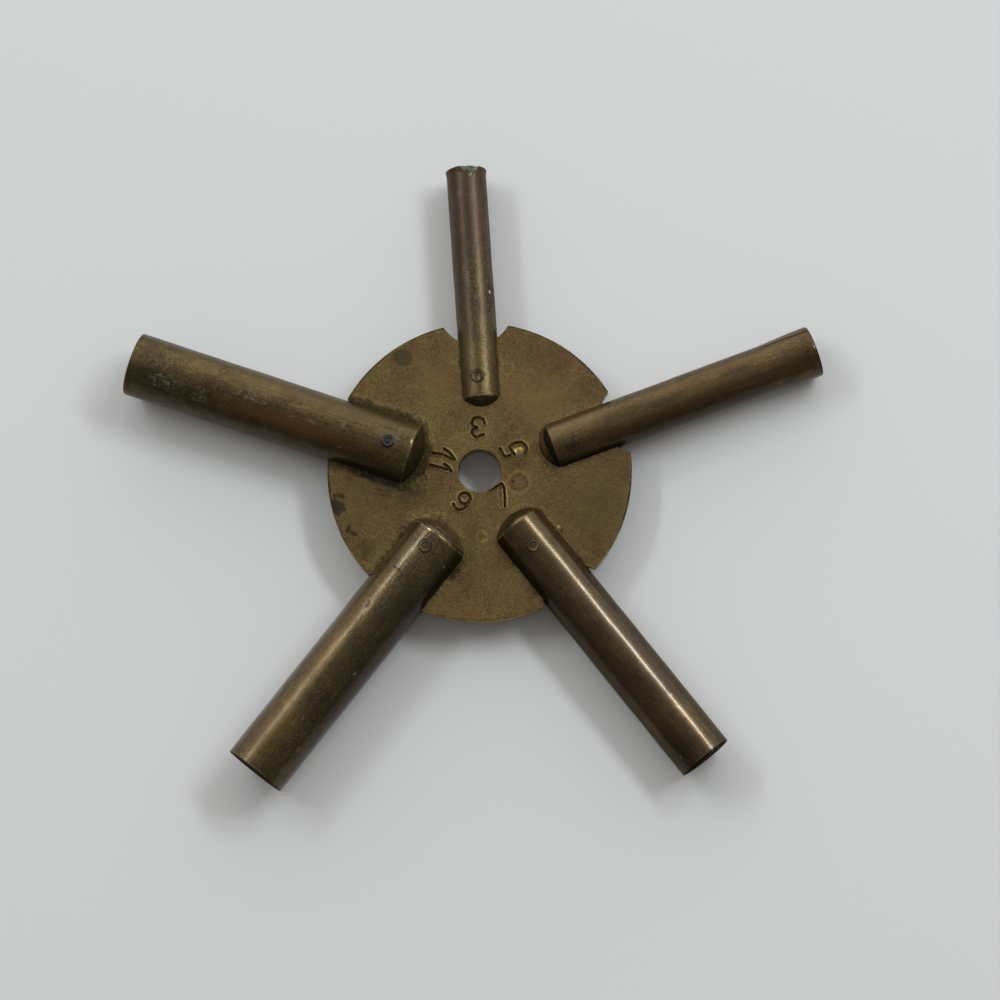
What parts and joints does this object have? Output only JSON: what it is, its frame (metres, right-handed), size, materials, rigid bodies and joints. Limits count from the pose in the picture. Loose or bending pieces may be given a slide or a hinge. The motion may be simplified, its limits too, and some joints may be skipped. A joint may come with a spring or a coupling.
{
  "type": "clock winding key",
  "caption": "Star-shaped brass clock key: round arms of graded thickness, slotted over and riveted to a flat hub disc, each ending in a square socket for a winding arbor.",
  "frame": {"origin": "centre of the hub hole, half way through the disc's thickness", "axes": "+Z along the hub hole, out of the stamped face of the disc; +X along the arm for size 11"},
  "size_m": [0.0855, 0.0832, 0.0081],
  "materials": {
    "disc_brass": "aged, mottled, satin",
    "arm_brass": "darkly tarnished, worn smooth, semi-gloss",
    "rivet_brass": "filed flush, dull"
  },
  "bodies": {
    "root": {"hub_disc": "disc_brass", "arm_3": "arm_brass", "arm_5": "arm_brass", "arm_7": "arm_brass", "arm_9": "arm_brass", "arm_11": "arm_brass", "rivet_3": "rivet_brass", "rivet_5": "rivet_brass", "rivet_7": "rivet_brass", "rivet_9": "rivet_brass", "rivet_11": "rivet_brass"}
  },
  "joints": []
}
